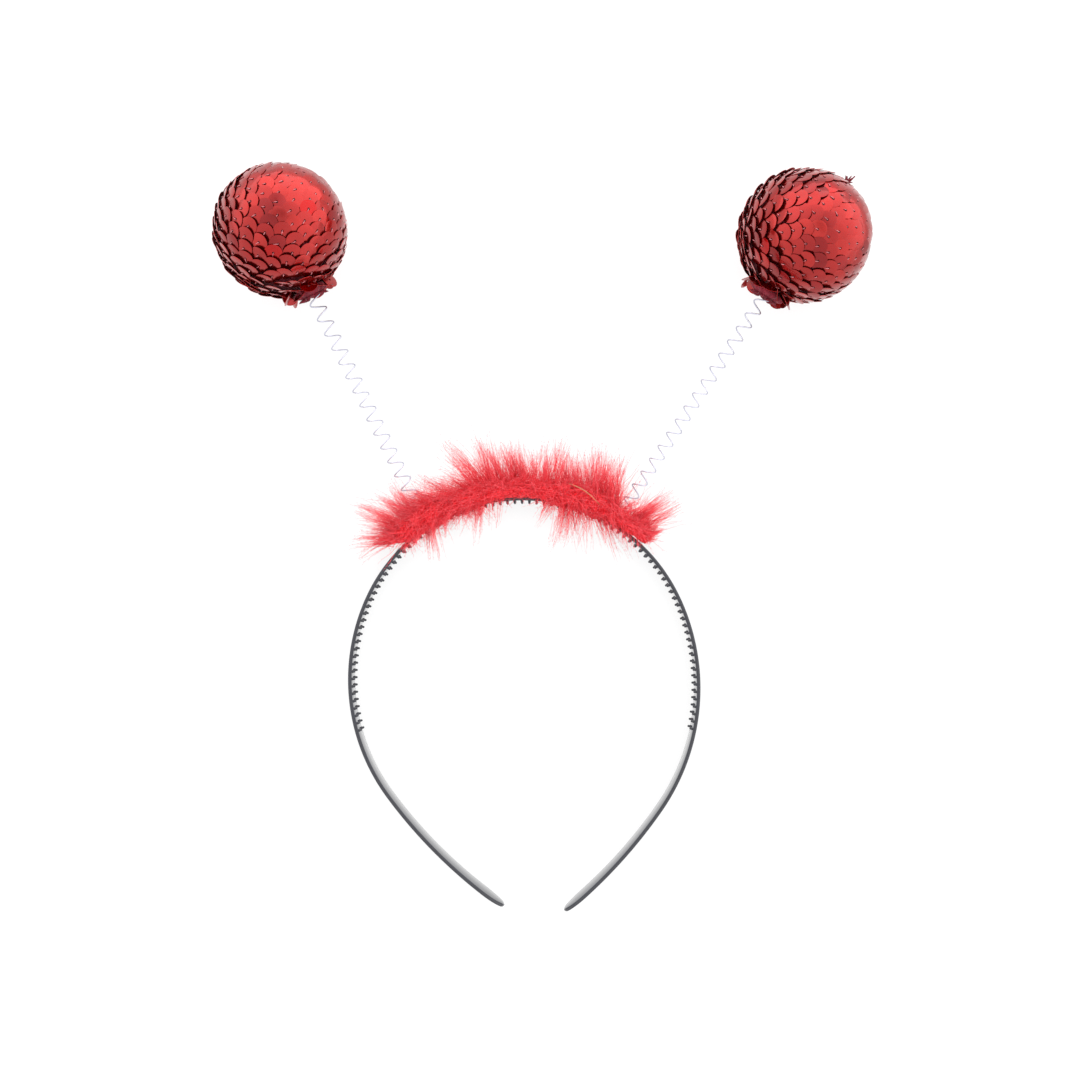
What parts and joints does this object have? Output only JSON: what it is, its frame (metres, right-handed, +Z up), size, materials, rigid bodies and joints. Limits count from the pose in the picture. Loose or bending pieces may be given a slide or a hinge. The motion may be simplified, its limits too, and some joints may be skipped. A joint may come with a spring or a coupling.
{
  "type": "head bopper",
  "caption": "Toothed plastic hair band with a marabou feather strip over its crown and sequin-covered balls that bob on coil springs.",
  "frame": {"origin": "under the middle of the whole, on the plane that the band's side edge and both balls rest on", "axes": "+Y runs in the band's plane from its open ends over the crown to the balls, +X to the right seen from above, +Z up out of the band's plane"},
  "size_m": [0.2238, 0.2596, 0.0459],
  "materials": {
    "black_plastic": "glossy injection moulded",
    "steel_wire": "bright drawn wire",
    "red_sequins": "metallised transparent red film",
    "red_cloth": "gathered matt cloth",
    "red_marabou": "dyed down feather"
  },
  "bodies": {
    "band": {"headband": "black_plastic", "marabou_strip": "red_marabou", "left_spring": "steel_wire", "right_spring": "steel_wire"},
    "left_bopper": {"left_ball": "red_sequins", "left_neck_gather": "red_cloth"},
    "right_bopper": {"right_ball": "red_sequins", "right_neck_gather": "red_cloth"}
  },
  "joints": [
    {"name": "left_sway", "type": "hinge", "parent": "band", "child": "left_bopper", "pos_m": [-0.05373, 0.03296, 0.00978], "axis": [0, 0, 1], "range_deg": [-30, 30], "stiffness_Nm_per_rad": 0.004, "deforming": ["left_spring"]},
    {"name": "right_sway", "type": "hinge", "parent": "band", "child": "right_bopper", "pos_m": [0.04236, 0.03349, 0.00983], "axis": [0, 0, 1], "range_deg": [-30, 30], "stiffness_Nm_per_rad": 0.004, "deforming": ["right_spring"]}
  ]
}
